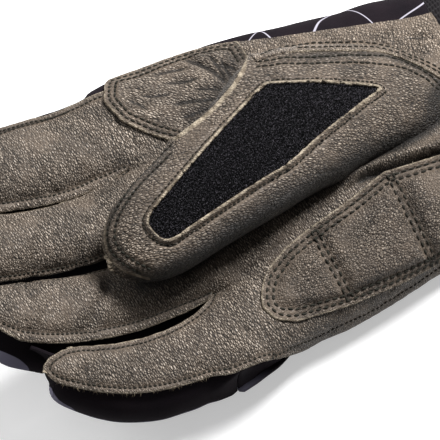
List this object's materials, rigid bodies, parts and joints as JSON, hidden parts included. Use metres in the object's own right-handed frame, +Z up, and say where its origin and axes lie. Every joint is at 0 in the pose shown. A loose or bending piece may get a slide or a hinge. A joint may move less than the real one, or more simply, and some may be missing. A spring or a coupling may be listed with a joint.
{
  "type": "cross-country ski glove",
  "caption": "Right-hand winter sport glove with a leather palm, a fabric back, a fleece wipe on the thumb and a knitted cuff, lying palm up with the thumb over the palm.",
  "frame": {"origin": "middle of the bounding box, on the surface that the glove lies on", "axes": "+X from the fingers to the cuff, +Y to the index finger and the thumb's root, +Z up out of the palm"},
  "size_m": [0.2382, 0.1154, 0.051],
  "materials": {
    "leather": "fine pebbled grain, matt",
    "back_fabric": "smooth stretch weave, matt",
    "fleece": "short dense pile",
    "knit": "ribbed knit",
    "thread": "dull sewing thread"
  },
  "bodies": {
    "root": {"palm_leather": "leather", "thumb_base_panel": "leather", "back_shell": "back_fabric", "fourchette_index_middle": "back_fabric", "fourchette_middle_ring": "back_fabric", "fourchette_ring_little": "back_fabric", "thumb_leather": "leather", "thumb_back": "leather", "thumb_wipe": "fleece", "index_patch": "leather", "palm_pad": "leather", "cuff": "knit"}
  },
  "joints": []
}
